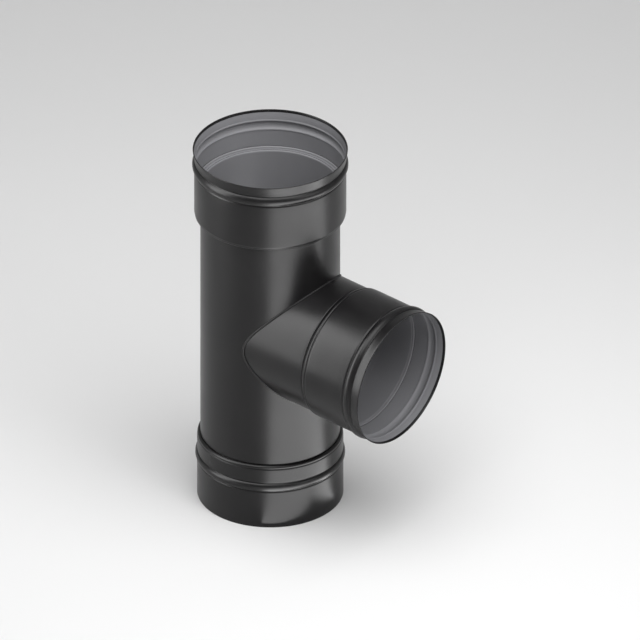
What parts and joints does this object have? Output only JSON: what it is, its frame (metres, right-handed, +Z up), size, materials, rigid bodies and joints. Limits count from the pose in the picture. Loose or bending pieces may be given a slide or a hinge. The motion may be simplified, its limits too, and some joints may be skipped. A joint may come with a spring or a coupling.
{
  "type": "flue tee",
  "caption": "Single-wall black steel flue tee: a straight tube with a beaded socket on top, a spigot with a stop bead below and a socketed side branch that drops a little outwards.",
  "frame": {"origin": "on the axis of the main tube, in the plane of the spigot's foot, which is the level the tee stands on", "axes": "+Z up the main tube towards the top socket, +X towards the side of the branch, which drops 3 degrees below it"},
  "size_m": [0.2675, 0.1676, 0.426],
  "materials": {
    "black_enamel": "semi-gloss black stove enamel on steel sheet"
  },
  "bodies": {
    "root": {"main_tube": "black_enamel", "top_socket": "black_enamel", "bottom_spigot": "black_enamel", "branch_stub": "black_enamel", "branch_socket": "black_enamel"}
  },
  "joints": []
}
